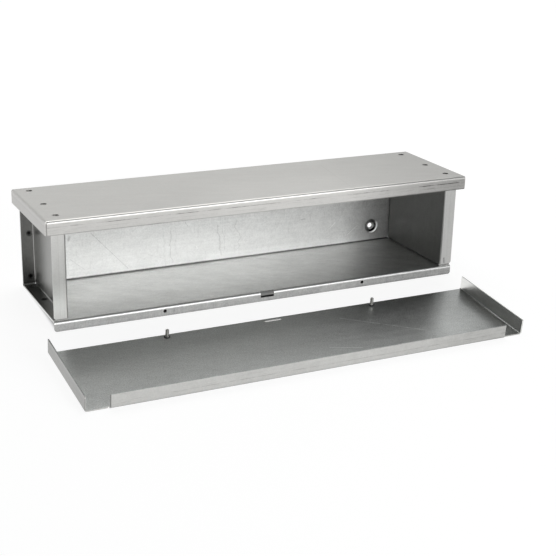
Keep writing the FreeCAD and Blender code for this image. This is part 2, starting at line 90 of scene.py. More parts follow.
# Marks on the back wall, with painted shade and light along its foot: both ends along and up, half width, strength
# and wander.
WALL_MARKS_AND_PAINTED_LIGHT = (
    # painted shade along the foot of the wall
    (-0.286, 0.0024, 0.286, 0.0024, 0.0015, -0.60, 0.0),
    # painted highlight just above it
    (-0.286, 0.0052, 0.286, 0.0052, 0.0012, 0.10, 0.0),
    # painted glint at the right rear corner
    (0.2853, 0.0035, 0.2856, 0.0035, 0.0013, 1.20, 0.0),
    (-0.205, 0.066, -0.171, 0.029, 0.0006, -0.22, 0.0),
    (-0.171, 0.029, -0.151, 0.007, 0.0006, -0.22, 0.0),
    (-0.085, 0.056, -0.082, 0.008, 0.0012, -0.15, 0.014),
    (-0.095, 0.050, -0.092, 0.014, 0.0022, -0.06, 0.020),
    (-0.078, 0.060, -0.074, 0.020, 0.0010, -0.07, 0.012),
    (-0.106, 0.040, -0.104, 0.024, 0.0016, -0.06, 0.020),
    (-0.012, 0.056, -0.003, 0.009, 0.0016, -0.13, 0.016),
    (-0.004, 0.054, 0.002, 0.016, 0.0010, -0.09, 0.018),
    (0.019, 0.061, 0.022, 0.013, 0.0009, -0.16, 0.036),
    (-0.236, 0.064, -0.238, 0.060, 0.0022, -0.18, 0.0),
    (-0.062, 0.066, -0.058, 0.060, 0.0009, -0.18, 0.0),
    (-0.044, 0.028, -0.043, 0.024, 0.0011, 0.16, 0.0),
    (-0.120, 0.024, -0.095, 0.015, 0.0006, -0.12, 0.0),
    (-0.236, 0.031, -0.214, 0.012, 0.0006, -0.12, 0.0),
    (0.189, 0.038, 0.180, 0.030, 0.0006, 0.24, 0.0),
    (0.229, 0.029, 0.212, 0.016, 0.0006, 0.26, 0.0),
    (0.126, 0.049, 0.136, 0.050, 0.0006, -0.22, 0.0),
)
Colour = tuple[float, float, float]
Point = tuple[float, float, float]
Span = tuple[float, float]


class Rolling(Enum):
    """Way that the mill's rolling lines run on a sheet, as the turn that brings it onto X."""

    ALONG = (0.0, 0.0, 0.0)
    UPRIGHT = (0.0, math.pi / 2, 0.0)


class Faces(Enum):
    """Faces of a sheet that strokes lie on, as the axes that count there."""

    LEVEL = (1.0, 1.0, 0.0)
    UPRIGHT = (1.0, 0.0, 1.0)


class Side(Enum):
    """End of the trough or of the cover, with its sign along X."""

    LEFT = ("left", -1.0)
    RIGHT = ("right", 1.0)


class Graph:
    """Shorthand for building one node tree."""

    def __init__(self, tree: bpy.types.NodeTree) -> None:
        """Keep the tree that the nodes go into."""
        self.tree = tree

    def node(self, kind: str, **settings: object) -> bpy.types.Node:
        """Add a node.

        Args:
            kind: the node's type name.
            settings: attributes of the node.

        Returns:
            The new node.
        """
        made = self.tree.nodes.new(kind)
        for name, value in settings.items():
            setattr(made, name, value)
        return made

    def feed(self, socket: bpy.types.NodeSocket, source: object) -> None:
        """Link a socket to another, or set its value.

        Args:
            socket: input to fill.
            source: an output socket, or a plain value.
        """
        if isinstance(source, bpy.types.NodeSocket):
            self.tree.links.new(source, socket)
        else:
            socket.default_value = source

    def math(self, operation: str, *operands: object, clamp: bool = False) -> bpy.types.NodeSocket:
        """Add a Math node.

        Args:
            operation: the node's operation.
            operands: one to three values or sockets.
            clamp: keep the result within 0 and 1.

        Returns:
            The value socket.
        """
        made = self.node("ShaderNodeMath", operation=operation, use_clamp=clamp)
        for socket, operand in zip(made.inputs, operands):
            self.feed(socket, operand)
        return made.outputs[0]

    def vector_math(self, operation: str, *operands: object) -> bpy.types.bpy_prop_collection:
        """Add a Vector Math node.

        Args:
            operation: the node's operation.
            operands: one or two vectors or sockets.

        Returns:
            The node's outputs, Vector and Value.
        """
        made = self.node("ShaderNodeVectorMath", operation=operation)
        for socket, operand in zip(made.inputs, operands):
            self.feed(socket, operand)
        return made.outputs

    def scaled(self, vector: object, factor: object) -> bpy.types.NodeSocket:
        """Scale a vector or colour by a value.

        Args:
            vector: what is scaled.
            factor: value or socket.

        Returns:
            The scaled vector.
        """
        made = self.node("ShaderNodeVectorMath", operation="SCALE")
        self.feed(made.inputs[0], vector)
        self.feed(made.inputs["Scale"], factor)
        return made.outputs["Vector"]

    def noise(self, place: object, scale: float, detail: float = 3.0, rough: float = 0.5) -> bpy.types.NodeSocket:
        """Add a Noise Texture.

        Args:
            place: coordinates, in metres.
            scale: pattern cells per metre.
            detail: octaves.
            rough: weight of the finer octaves.

        Returns:
            The value socket, about 0.3 to 0.7.
        """
        made = self.node("ShaderNodeTexNoise")
        self.feed(made.inputs["Vector"], place)
        made.inputs["Scale"].default_value = scale
        made.inputs["Detail"].default_value = detail
        made.inputs["Roughness"].default_value = rough
        return made.outputs["Fac"]

    def stretch(self, place: object, scale: Point, turn: Point = (0.0, 0.0, 0.0)) -> bpy.types.NodeSocket:
        """Turn coordinates, after scaling them.

        Args:
            place: coordinates, in metres.
            scale: factor along each axis.
            turn: angles about X, Y and Z, in radians.

        Returns:
            The new coordinates.
        """
        made = self.node("ShaderNodeMapping", vector_type="POINT")
        self.feed(made.inputs["Vector"], place)
        made.inputs["Rotation"].default_value = turn
        made.inputs["Scale"].default_value = scale
        return made.outputs["Vector"]

    def remap(self, value: object, span: Span, to: Span, smooth: bool = False) -> bpy.types.NodeSocket:
        """Map a range of values to another, clamped.

        Args:
            value: what is mapped.
            span: range of the value.
            to: range of the result.
            smooth: ease in and out.

        Returns:
            The mapped value.
        """
        made = self.node("ShaderNodeMapRange", interpolation_type="SMOOTHSTEP" if smooth else "LINEAR")
        self.feed(made.inputs["Value"], value)
        for name, number in zip(("From Min", "From Max", "To Min", "To Max"), (*span, *to)):
            made.inputs[name].default_value = number
        return made.outputs["Result"]

    def blend(self, share: object, first: Colour, second: Colour) -> bpy.types.NodeSocket:
        """Mix two colours.

        Args:
            share: part of the second colour, 0 to 1.
            first: colour at 0.
            second: colour at 1.

        Returns:
            The mixed colour.
        """
        made = self.node("ShaderNodeMix", data_type="RGBA")
        self.feed(made.inputs["Factor"], share)
        for name, value in (("A", first), ("B", second)):
            next(s for s in made.inputs if s.name == name and s.type == "RGBA").default_value = (*value, 1.0)
        return next(s for s in made.outputs if s.type == "RGBA")

    def bump(self, height: object, distance: float, over: object = None) -> bpy.types.NodeSocket:
        """Add a Bump node.

        Args:
            height: the height pattern.
            distance: height of the pattern's value 1, in metres.
            over: normal that the bumps are laid on, where it isn't the surface's own.

        Returns:
            The bumped normal.
        """
        made = self.node("ShaderNodeBump")
        made.inputs["Distance"].default_value = distance
        self.feed(made.inputs["Height"], height)
        if over is not None:
            self.feed(made.inputs["Normal"], over)
        return made.outputs["Normal"]


def start_material(name: str) -> tuple[bpy.types.Material, Graph, bpy.types.NodeInputs]:
    """Start a material with a Principled shader.

    Args:
        name: name of the material.

    Returns:
        The material, its tree's shorthand and the shader's inputs.
    """
    made = bpy.data.materials.new(name)
    made.use_nodes = True
    return made, Graph(made.node_tree), made.node_tree.nodes["Principled BSDF"].inputs


class Effect:
    """A shader node group with named inputs and outputs."""

    FLOAT = "NodeSocketFloat"
    VECTOR = "NodeSocketVector"

    def __init__(self, name: str, inputs: dict[str, str], outputs: tuple[str, ...]) -> None:
        """Make an empty group.

        Args:
            name: the group's name.
            inputs: socket types by input name.
            outputs: names of its value outputs.
        """
        self.tree = bpy.data.node_groups.new(name, "ShaderNodeTree")
        for label, kind in inputs.items():
            self.tree.interface.new_socket(label, in_out="INPUT", socket_type=kind)
        for label in outputs:
            self.tree.interface.new_socket(label, in_out="OUTPUT", socket_type=self.FLOAT)
        self.graph = Graph(self.tree)
        self.given = self.graph.node("NodeGroupInput").outputs
        self.result = self.graph.node("NodeGroupOutput").inputs

    def use(self, graph: Graph, **values: object) -> bpy.types.bpy_prop_collection:
        """Place the group in a tree.

        Args:
            graph: the tree's shorthand.
            values: inputs by name, with _ for a space.

        Returns:
            The placed node's outputs.
        """
        made = graph.node("ShaderNodeGroup", node_tree=self.tree)
        for label, value in values.items():
            graph.feed(made.inputs[label.replace("_", " ")], value)
        return made.outputs


def rolled_zinc() -> Effect:
    """Cloudy zinc with rolling lines along X and a fine grain.

    Returns:
        A group that puts out a shade, a grain and a gloss pattern, each about 0.5, and a height.
    """
    made = Effect("rolled_zinc", {"Rolled": Effect.VECTOR}, ("Shade", "Grain", "Gloss", "Height"))
    g, rolled = made.graph, made.given["Rolled"]
    clouds = g.noise(rolled, scale=15.0, detail=4.0, rough=0.55)
    blotches = g.noise(g.stretch(rolled, (0.7, 1.0, 1.0)), scale=150.0, detail=3.0, rough=0.6)
    streaks = g.noise(g.stretch(rolled, (6.0, 380.0, 380.0)), scale=1.0, detail=3.0, rough=0.6)
    hairs = g.noise(g.stretch(rolled, (25.0, 2600.0, 2600.0)), scale=1.0, detail=2.0, rough=0.5)
    grain = g.noise(rolled, scale=480.0, detail=2.0, rough=0.55)
    shade = g.math("MULTIPLY", clouds, 0.16)
    for pattern, weight in ((blotches, 0.28), (streaks, 0.20), (grain, 0.36)):
        shade = g.math("MULTIPLY_ADD", pattern, weight, shade)
    g.feed(made.result["Shade"], shade)
    g.feed(made.result["Grain"], g.noise(rolled, scale=640.0, detail=2.0, rough=0.6))
    g.feed(made.result["Gloss"], g.math("MULTIPLY_ADD", blotches, 0.5, g.math("MULTIPLY", streaks, 0.5)))
    g.feed(made.result["Height"], g.math("MULTIPLY_ADD", hairs, 0.85, g.math("MULTIPLY", grain, 0.15)))
    return made


def drawn_line() -> Effect:
    """One straight scratch or die line between two points of the sheet.

    Returns:
        A group that puts out 1 on the line and 0 away from it.
    """
    made = Effect("drawn_line", {"Place": Effect.VECTOR, "Start": Effect.VECTOR, "End": Effect.VECTOR,
                                 "Half Width": Effect.FLOAT}, ("Line",))
    g = made.graph
    along = g.vector_math("SUBTRACT", made.given["End"], made.given["Start"])["Vector"]
    reach = g.vector_math("SUBTRACT", made.given["Place"], made.given["Start"])["Vector"]
    share = g.math("DIVIDE", g.vector_math("DOT_PRODUCT", reach, along)["Value"],
                   g.vector_math("DOT_PRODUCT", along, along)["Value"], clamp=True)
    off = g.vector_math("DISTANCE", reach, g.scaled(along, share))["Value"]
    near = g.math("DIVIDE", off, made.given["Half Width"])
    g.feed(made.result["Line"], g.remap(near, (MARK_CORE, 1.0), (1.0, 0.0), smooth=True))
    return made


def slanted_strokes() -> Effect:
    """Straight strokes or hair scratches on the level or the upright faces of a sheet.

    Returns:
        A group that puts out 1 on the strokes and 0 away from them.
    """
    made = Effect("slanted_strokes", {"Place": Effect.VECTOR, "Low": Effect.FLOAT, "High": Effect.FLOAT,
                                      "Share": Effect.FLOAT}, ("Stroke",))
    g = made.graph
    pattern = g.noise(made.given["Place"], scale=1.0, detail=2.0, rough=0.55)
    spread = g.math("SUBTRACT", made.given["High"], made.given["Low"])
    level = g.math("DIVIDE", g.math("SUBTRACT", pattern, made.given["Low"]), spread, clamp=True)
    g.feed(made.result["Stroke"], g.math("MULTIPLY", level, made.given["Share"]))
    return made


def painted_seat_shading() -> Effect:
    """Painted shade and highlights, and the rounded rim, of one dished hole in an upright sheet.

    Returns:
        A group that puts out the painted shade and highlights there, as how much lighter or darker the sheet is,
        and the height of the rounded rim, in metres. The seat is painted dark as shade, darkest on its lower right
        side, with a bright painted highlight curving along that rim and another near the hole's edge.
    """
    made = Effect("painted_seat_shading", {"Place": Effect.VECTOR, "Centre": Effect.VECTOR, "Rim": Effect.FLOAT},
                  ("Tone", "Height"))
    g = made.graph
    offset = g.vector_math("SUBTRACT", made.given["Place"], made.given["Centre"])["Vector"]
    flat = g.vector_math("MULTIPLY", offset, Faces.UPRIGHT.value)["Vector"]
    reach = g.math("DIVIDE", g.vector_math("LENGTH", flat)["Value"], made.given["Rim"])
    lower_right = math.radians(-35.0)
    toward = g.vector_math("DOT_PRODUCT", g.vector_math("NORMALIZE", flat)["Vector"],
                           (math.cos(lower_right), 0.0, math.sin(lower_right)))["Value"]
    # lower right side of the seat, where the painted shade and highlights are strongest
    lit = g.remap(toward, (0.1, 0.75), (0.0, 1.0), smooth=True)
    # painted shade over the whole seat
    tone = g.remap(reach, (0.95, 1.1), (-0.36, 0.0), smooth=True)
    # painted highlight along the rim, a ring of painted shade inside it and a painted highlight near the hole's
    # edge
    crescent, side, hole_edge = (1.0, 0.17, 1.5), (0.80, 0.15, -0.30), (0.56, 0.12, 0.6)
    for middle, half, strength in (crescent, side, hole_edge):
        off = g.math("ABSOLUTE", g.math("SUBTRACT", reach, middle))
        ring = g.remap(off, (MARK_CORE * half, half), (strength, 0.0), smooth=True)
        tone = g.math("MULTIPLY_ADD", ring, lit, tone)
    g.feed(made.result["Tone"], tone)
    rounding = g.remap(reach, (0.93, 1.12), (0.0, 0.06), smooth=True)
    g.feed(made.result["Height"], g.math("MULTIPLY", rounding, made.given["Rim"]))
    return made


@dataclass
class Effects:
    """The shared node groups, built once."""

    zinc: Effect = field(default_factory=rolled_zinc)
    line: Effect = field(default_factory=drawn_line)
    strokes: Effect = field(default_factory=slanted_strokes)
    seat: Effect = field(default_factory=painted_seat_shading)


@dataclass(frozen=True)
class Mark:
    """A mark on a sheet, also used for lines and spots of painted shade and highlight, straight or wandering, in
    the sheet's own frame, in metres.

    A positive strength is lighter than the sheet, a negative one darker.
    """

    start: Point
    end: Point
    half_width: float
    strength: float
    broken: bool = False
    wander: float = 0.0

    @classmethod
    def along(cls, reach: Span, y: float, z: float, half_width: float, strength: float,
              broken: bool = False) -> Mark:
        """Make a mark that runs along X.

        Args:
            reach: where it starts and ends along X.
            y: its place along Y.
            z: its place along Z.
            half_width: half of its width.
            strength: how much lighter it is.
            broken: leave gaps in it.

        Returns:
            The mark.
        """
        return cls((reach[0], y, z), (reach[1], y, z), half_width, strength, broken)


@dataclass(frozen=True)
class SheetFrame:
    """Place and turn about X of a bent sheet's own axes in the part's frame."""

    base: Point
    turn: float

    @property
    def matrix(self) -> Matrix:
        """Turn and move from the sheet's own axes to the part's frame."""
        return Matrix.Translation(self.base) @ Matrix.Rotation(self.turn, 4, "X")

    def place(self, graph: Graph) -> bpy.types.NodeSocket:
        """Add nodes that give the sheet's own coordinates.

        Args:
            graph: the material's tree.

        Returns:
            Coordinates in metres.
        """
        own = graph.node("ShaderNodeMapping", vector_type="TEXTURE")
        graph.feed(own.inputs["Vector"], graph.node("ShaderNodeTexCoord").outputs["Object"])
        own.inputs["Location"].default_value = self.base
        own.inputs["Rotation"].default_value = (self.turn, 0.0, 0.0)
        return own.outputs["Vector"]


@dataclass(frozen=True)
class Strokes:
    """Slanted wipe strokes or hair scratches over the level or the upright faces of a sheet."""

    faces: Faces
    slant: float
    length: float
    width: float
    span: Span
    strength: float


@dataclass(frozen=True)
class PaintedShading:
    """Part of a sheet with painted shade, darker from a span along one of its own axes onwards; a negative amount
    is painted light instead.
    """

    axis: str
    span: Span
    amount: float
    faces: Faces | None = None


@dataclass(frozen=True)
class ZincSheet:
    """Finish of one zinc-coated sheet."""

    name: str
    colour: Colour
    roughness: float
    rolling: Rolling = Rolling.ALONG
    contrast: float = 0.16
    grain: float = 0.0
    gloss_spread: float = 0.06
    line_height: float = 0.000003
    painted_shading: tuple[PaintedShading, ...] = ()
    strokes: tuple[Strokes, ...] = ()
    marks: tuple[Mark, ...] = ()
    painted_level_light: Colour | None = None
    seats: tuple[Point, ...] = ()
    seat_rim: float = 0.0102

    def facing_share(self, graph: Graph, faces: Faces) -> bpy.types.NodeSocket:
        """Add nodes that tell the level faces from the upright ones.

        Args:
            graph: the material's tree.
            faces: which of them count.

        Returns:
            A mask that is 1 on those faces.
        """
        facing = graph.node("ShaderNodeNewGeometry").outputs["Normal"]
        lying = graph.math("ABSOLUTE", graph.vector_math("DOT_PRODUCT", facing, (0.0, 0.0, 1.0))["Value"])
        return graph.remap(lying, LEVEL_SPAN, (0.0, 1.0) if faces is Faces.LEVEL else (1.0, 0.0))

    def stroke_mask(self, graph: Graph, effects: Effects, place: object, strokes: Strokes) -> bpy.types.NodeSocket:
        """Add one layer of strokes.

        Args:
            graph: the material's tree.
            effects: the shared node groups.
            place: the sheet's own coordinates.
            strokes: their slant, size and threshold.

        Returns:
            A mask that is 1 on the strokes.
        """
        level = strokes.faces is Faces.LEVEL
        turn = (0.0, 0.0, strokes.slant) if level else (0.0, strokes.slant, 0.0)
        flat = graph.stretch(place, strokes.faces.value, turn)
        drawn = graph.stretch(flat, (1.0 / strokes.length, 1.0 / strokes.width, 1.0 / strokes.width))
        share = self.facing_share(graph, strokes.faces)
        low, high = strokes.span
        return effects.strokes.use(graph, Place=drawn, Low=low, High=high, Share=share)["Stroke"]

    def mark_mask(self, graph: Graph, effects: Effects, place: object, mark: Mark) -> bpy.types.NodeSocket:
        """Add one mark.

        Args:
            graph: the material's tree.
            effects: the shared node groups.
            place: the sheet's own coordinates.
            mark: where it runs and how.

        Returns:
            A mask that is 1 on the mark.
        """
        spot = place
        if mark.wander:
            waves = graph.noise(graph.stretch(place, (0.3, 1.0, 1.0)), scale=55.0, detail=3.0, rough=0.6)
            swing = graph.math("SUBTRACT", waves, 0.5)
            aside = graph.node("ShaderNodeCombineXYZ")
            graph.feed(aside.inputs["X"], graph.math("MULTIPLY", swing, mark.wander))
            spot = graph.vector_math("ADD", place, aside.outputs["Vector"])["Vector"]
        line = effects.line.use(graph, Place=spot, Start=mark.start, End=mark.end,
                                Half_Width=mark.half_width)["Line"]
        if mark.broken:
            gaps = graph.remap(graph.noise(place, scale=34.0, detail=3.0, rough=0.6), (0.43, 0.57), (0.1, 1.0))
            line = graph.math("MULTIPLY", line, gaps)
        return line

    def tone(self, graph: Graph, effects: Effects, place: object,
             zinc: bpy.types.bpy_prop_collection) -> bpy.types.NodeSocket:
        """Add the zinc's pattern, the painted shade and light along the sheet's axes, the strokes and the marks,
        some of which are painted shade and highlights.

        Args:
            graph: the material's tree.
            effects: the shared node groups.
            place: the sheet's own coordinates.
            zinc: outputs of the zinc's node group.

        Returns:
            A factor for the sheet's colour.
        """
        half = self.contrast / 2
        tone = graph.remap(zinc["Shade"], MIXED_SPAN, (1.0 - half, 1.0 + half))
        if self.grain:
            speck = graph.math("MULTIPLY", graph.math("SUBTRACT", zinc["Grain"], 0.5), self.grain)
            tone = graph.math("MULTIPLY_ADD", speck, self.facing_share(graph, Faces.LEVEL), tone)
        own = graph.node("ShaderNodeSeparateXYZ")
        graph.feed(own.inputs[0], place)
        # painted shade; a negative amount is painted light
        for painted_shading in self.painted_shading:
            part = graph.remap(own.outputs[painted_shading.axis], painted_shading.span, (0.0, 1.0), smooth=True)
            if painted_shading.faces is not None:
                part = graph.math("MULTIPLY", part, self.facing_share(graph, painted_shading.faces))
            tone = graph.math("MULTIPLY_ADD", part, -painted_shading.amount, tone)
        for strokes in self.strokes:
            mask = self.stroke_mask(graph, effects, place, strokes)
            tone = graph.math("MULTIPLY_ADD", mask, strokes.strength, tone)
        for mark in self.marks:
            mask = self.mark_mask(graph, effects, place, mark)
            tone = graph.math("MULTIPLY_ADD", mask, mark.strength, tone)
        return tone

    def material(self, effects: Effects, frame: SheetFrame) -> bpy.types.Material:
        """Build the material.

        Args:
            effects: the shared node groups.
            frame: the sheet's own axes.

        Returns:
            The material.
        """
        made, g, shader = start_material(self.name)
        shader["Metallic"].default_value = 1.0
        place = frame.place(g)
        zinc = effects.zinc.use(g, Rolled=g.stretch(place, (1.0, 1.0, 1.0), self.rolling.value))
        tone = self.tone(g, effects, place, zinc)
        normal = g.bump(zinc["Height"], self.line_height)
        # painted shade and highlights round each dished hole, with a bump for its rounded rim
        for centre in self.seats:
            seat = effects.seat.use(g, Place=place, Centre=centre, Rim=self.seat_rim)
            tone = g.math("ADD", tone, seat["Tone"])
            normal = g.bump(seat["Height"], 1.0, over=normal)
        colour = g.scaled(self.colour, tone)
        # painted light: level faces lighter and cooler than upright ones
        if self.painted_level_light is not None:
            tint = g.blend(self.facing_share(g, Faces.LEVEL), (1.0, 1.0, 1.0), self.painted_level_light)
            colour = g.vector_math("MULTIPLY", colour, tint)["Vector"]
        g.feed(shader["Base Color"], colour)
        glossy, matt = self.roughness - self.gloss_spread / 2, self.roughness + self.gloss_spread / 2
        g.feed(shader["Roughness"], g.remap(zinc["Gloss"], MIXED_SPAN, (glossy, matt)))
        g.feed(shader["Normal"], normal)
        return made


@dataclass(frozen=True)
class SpeckledFinish:
    """Finish of a small piece with a fine speckle; gloss_scale is for a gloss pattern apart from the speckle."""

    name: str
    colour: Colour
    shades: Span
    metallic: float
    scale: float
    detail: float
    gloss: Span
    speckle_height: float
    gloss_scale: float | None = None

    def material(self) -> bpy.types.Material:
        """Build the material.

        Returns:
            The material.
        """
        made, g, shader = start_material(self.name)
        shader["Metallic"].default_value = self.metallic
        place = g.node("ShaderNodeTexCoord").outputs["Object"]
        speckle = g.noise(place, self.scale, self.detail)
        dark, light = (tuple(shade * c for c in self.colour) for shade in self.shades)
        g.feed(shader["Base Color"], g.blend(speckle, dark, light))
        sheen = speckle if self.gloss_scale is None else g.noise(place, self.gloss_scale)
        g.feed(shader["Roughness"], g.remap(sheen, NOISE_SPAN, self.gloss))
        g.feed(shader["Normal"], g.bump(speckle, self.speckle_height))
        return made


@dataclass(frozen=True)
class PlatedScrew(SpeckledFinish):
    """Finish of a zinc-plated screw."""

    name: str = "plated_screw"
    colour: Colour = (0.66, 0.65, 0.62)
    shades: Span = (0.75, 1.15)
    metallic: float = 1.0
    scale: float = 1400.0
    detail: float = 3.0
    gloss: Span = (0.22, 0.4)
    speckle_height: float = 0.00002
    gloss_scale: float | None = 500.0


@dataclass(frozen=True)
class DarkNylon(SpeckledFinish):
    """Finish of a moulded screw retainer."""

    name: str = "dark_nylon"
    colour: Colour = (0.042, 0.042, 0.045)
    shades: Span = (1.0, 1.8)
    metallic: float = 0.0
    scale: float = 1100.0
    detail: float = 2.0
    gloss: Span = (0.42, 0.6)
    speckle_height: float = 0.00003


def settle(rise: float, run: float, radius: float) -> float:
    """Angle that brings a foot and a round bend down on one floor.

    Args:
        rise: foot to the bend's centre, across the sheet.
        run: foot to the bend's centre, along the sheet.
        radius: outer radius of the bend.

    Returns:
        The angle, in radians.
    """
    return math.acos(radius / math.hypot(rise, run)) - math.atan(run / rise)


def paint(piece: bpy.types.Object, material: bpy.types.Material) -> None:
    """Give a piece one material all over.

    Args:
        piece: the mesh object.
        material: its finish.
    """
    piece.data.materials.clear()
    piece.data.materials.append(material)


def add_piece(name: str, shape: bmesh.types.BMesh, place: Matrix, crease: float = CREASE) -> bpy.types.Object:
    """Turn a finished shape into an object, with its place in its mesh.

    Args:
        name: name of the piece.
        shape: the shape, in its own axes; it is freed.
        place: turn and move into the part's frame.
        crease: angle between two faces from which their edge is sharp, in radians.

    Returns:
        The new object.
    """
    bmesh.ops.transform(shape, matrix=place, verts=shape.verts)
    mesh = bpy.data.meshes.new(name)
    shape.to_mesh(mesh)
    shape.free()
    mesh.shade_smooth()
    mesh.set_sharp_from_angle(angle=crease)
    piece = bpy.data.objects.new(name, mesh)
    bpy.context.scene.collection.objects.link(piece)
    return piece


def spin_profile(shape: bmesh.types.BMesh, profile: list[Span], steps: int, closed: bool) -> None:
    """Turn a profile right round Z.

    Args:
        shape: the shape that it is added to.
        profile: radius and height of each corner.
        steps: faces round the axis.
        closed: join the last corner to the first.
    """
    chain = [shape.verts.new((radius, 0.0, height)) for radius, height in profile]
    pairs = list(zip(chain, chain[1:]))
    if closed:
        pairs.append((chain[-1], chain[0]))
    edges = [shape.edges.new(pair) for pair in pairs]
    bmesh.ops.spin(shape, geom=chain + edges, cent=(0.0, 0.0, 0.0), axis=(0.0, 0.0, 1.0), dvec=(0.0, 0.0, 0.0),
                   angle=math.tau, steps=steps, use_merge=True)
    bmesh.ops.remove_doubles(shape, verts=shape.verts, dist=MERGE_DISTANCE)
    bmesh.ops.recalc_face_normals(shape, faces=shape.faces)


@dataclass
class Trough:
    """The body, its end plates and its top, which lean back together on the front lip."""

    depth: float = 0.1524
    rise: float = 0.1404
    lip_drop: float = 0.012
    gauge: float = 0.0016
    bend: float = 0.0032
    overhang: float = 0.0095
    flange: float = 0.01905
    hole_x: float = 0.254
    hole_z: Span = (0.0254, 0.10865)
    web_x: float = 0.28575
    clinch_x: float = 0.2938
    clinch_margin: float = 0.0145
    clinch_offset: float = 0.007
    clinch_radius: float = 0.0052
    top_end: float = 0.314
    notch_half: float = 0.01018
    notch_rear: float = 0.00298
    strip_front: float = -0.0004
    strip_drop: float = 0.0028
    strip_edge: float = 0.0003

    @property
    def frame(self) -> SheetFrame:
        """Own axes of the trough.

        Returns:
            The middle of the jamb faces' plane at the floor's underside, and the lean.
        """
        low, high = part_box("trough_body")
        lean = settle(self.bend + self.lip_drop, self.depth - self.bend - self.gauge, self.bend)
        base = ((low.x + high.x) / 2, low.y + self.lip_drop * math.sin(lean),
                self.gauge * math.sin(lean) + self.lip_drop * math.cos(lean))
        return SheetFrame(base, -lean)

    def body_finish(self) -> ZincSheet:
        """Finish of the back wall, floor and lip.

        Returns:
            The finish, with the run marks and scratches on the wall, painted shade along the wall's foot with
            painted light above it and a painted glint at its right rear corner, a painted highlight along the bend
            above the lip, painted light on the lip's right part, painted shade along the floor's front edge, and
            painted shade darker to the right, on the lip, towards the top of the wall and towards the back of the
            floor.
        """
        wall, lip = self.depth - self.gauge, -self.gauge / 2
        seats = tuple((x, wall, z) for x in (-self.hole_x, self.hole_x) for z in self.hole_z)
        wall_marks_and_painted_light = (Mark((x0, wall, z0), (x1, wall, z1), half, strength, wander=wander)
                      for x0, z0, x1, z1, half, strength, wander in WALL_MARKS_AND_PAINTED_LIGHT)
        # painted light: a lighter band along the foot of the wall
        painted_wall_foot_light = Mark.along((-0.02, 0.255), wall, 0.004, 0.014, 0.09)
        # painted highlight along the bend above the lip
        painted_bend_highlight = Mark.along((-0.3, 0.284), lip, -lip, 0.0022, 0.30)
        # painted light on the right part of the lip
        painted_lip_light = Mark.along((0.09, 0.31), lip, -0.007, 0.009, 0.05)
        # darker along the lip's bottom edge
        lip_edge = Mark.along((-0.31, 0.31), -self.gauge, -self.lip_drop, 0.0042, -0.06)
        # painted shade: a dark reflection along the floor's front edge
        painted_floor_front_shade = Mark.along((-0.24, 0.20), 0.0042, self.gauge, 0.0024, -0.10)
        return ZincSheet("body_zinc", (0.905, 0.910, 0.897), 0.43, contrast=0.24, painted_shading=(
            # painted shade: darker to the right, on the lip, towards the top of the wall and towards the back of
            # the floor
            PaintedShading("X", (-0.02, 0.28), 0.16),
            PaintedShading("Z", (0.0, -0.003), 0.555),
            PaintedShading("Z", (0.0, 0.085), 0.30, Faces.UPRIGHT),
            PaintedShading("Y", (0.055, 0.135), 0.14, Faces.LEVEL),
            PaintedShading("Y", (0.125, 0.150), 0.10, Faces.LEVEL),
        ), strokes=(
            Strokes(Faces.LEVEL, 0.62, 0.050, 0.015, (0.30, 0.70), -0.11),
            Strokes(Faces.LEVEL, 0.25, 0.035, 0.008, (0.30, 0.70), 0.03),
            Strokes(Faces.LEVEL, 0.5, 0.030, 0.0018, (0.64, 0.74), -0.12),
            Strokes(Faces.LEVEL, -0.9, 0.030, 0.0018, (0.65, 0.74), -0.10),
            Strokes(Faces.UPRIGHT, 0.85, 0.030, 0.0013, (0.66, 0.74), -0.07),
            Strokes(Faces.UPRIGHT, 1.52, 0.030, 0.0035, (0.56, 0.72), -0.06),
        ), marks=(*wall_marks_and_painted_light, painted_bend_highlight, painted_lip_light, lip_edge, painted_floor_front_shade, painted_wall_foot_light), seats=seats)

    def top_finish(self) -> ZincSheet:
        """Finish of the top.

        Returns:
            The finish, with a painted highlight along the front bend, the die lines along the front flange,
            painted shade along the flange's lower edge and in the clinch seats, painted light over the middle of
            the flange, and painted shade darker to the right and on the flanges.
        """
        whole, front = (-self.top_end, self.top_end), -self.overhang
        die_line, foot = self.rise - 0.44 * self.flange, self.rise - self.flange
        bend_inset, die_gap, edge_inset = 0.0008, 0.005, 0.0005
        rows = (self.clinch_margin, self.depth / 2 - self.clinch_offset, self.depth - self.clinch_margin)
        ends = ((x, x + SPOT_LENGTH) for x in (-self.clinch_x, self.clinch_x))
        # painted shade in the seats of the clinch points on the top
        clinch_shades = (Mark.along(end, y, self.rise, self.clinch_radius, -0.40) for end in ends for y in rows)
        return ZincSheet("top_zinc", (0.552, 0.546, 0.530), 0.38, contrast=0.12, painted_shading=(
            # painted shade: darker to the right, on the flanges and on the flanges' right part
            PaintedShading("X", (0.08, 0.32), 0.18),
            PaintedShading("Z", (self.rise - 0.003, self.rise - 0.006), 0.08),
            PaintedShading("X", (0.10, 0.28), 0.20, Faces.UPRIGHT),
        ), strokes=(
            Strokes(Faces.LEVEL, 0.3, 0.06, 0.012, (0.32, 0.68), -0.04),
            Strokes(Faces.UPRIGHT, 0.05, 0.03, 0.0016, (0.56, 0.70), -0.15),
        ), marks=(
            # painted highlight along the front bend
            Mark.along(whole, front + bend_inset, self.rise - bend_inset, 0.0032, 0.55),
            Mark.along(whole, front, die_line, 0.0006, -0.60, broken=True),
            Mark.along(whole, front, die_line - die_gap, 0.0004, -0.16, broken=True),
            # painted shadow along the flange's lower edge
            Mark.along(whole, front, foot + edge_inset, 0.0008, -0.30),
            # painted light over the middle of the flange
            Mark.along((0.0, 0.06), front, die_line, 0.13, 0.07),
            *clinch_shades,
            Mark((0.145, 0.130, self.rise), (0.126, -0.004, self.rise), 0.0006, -0.09),
        ))

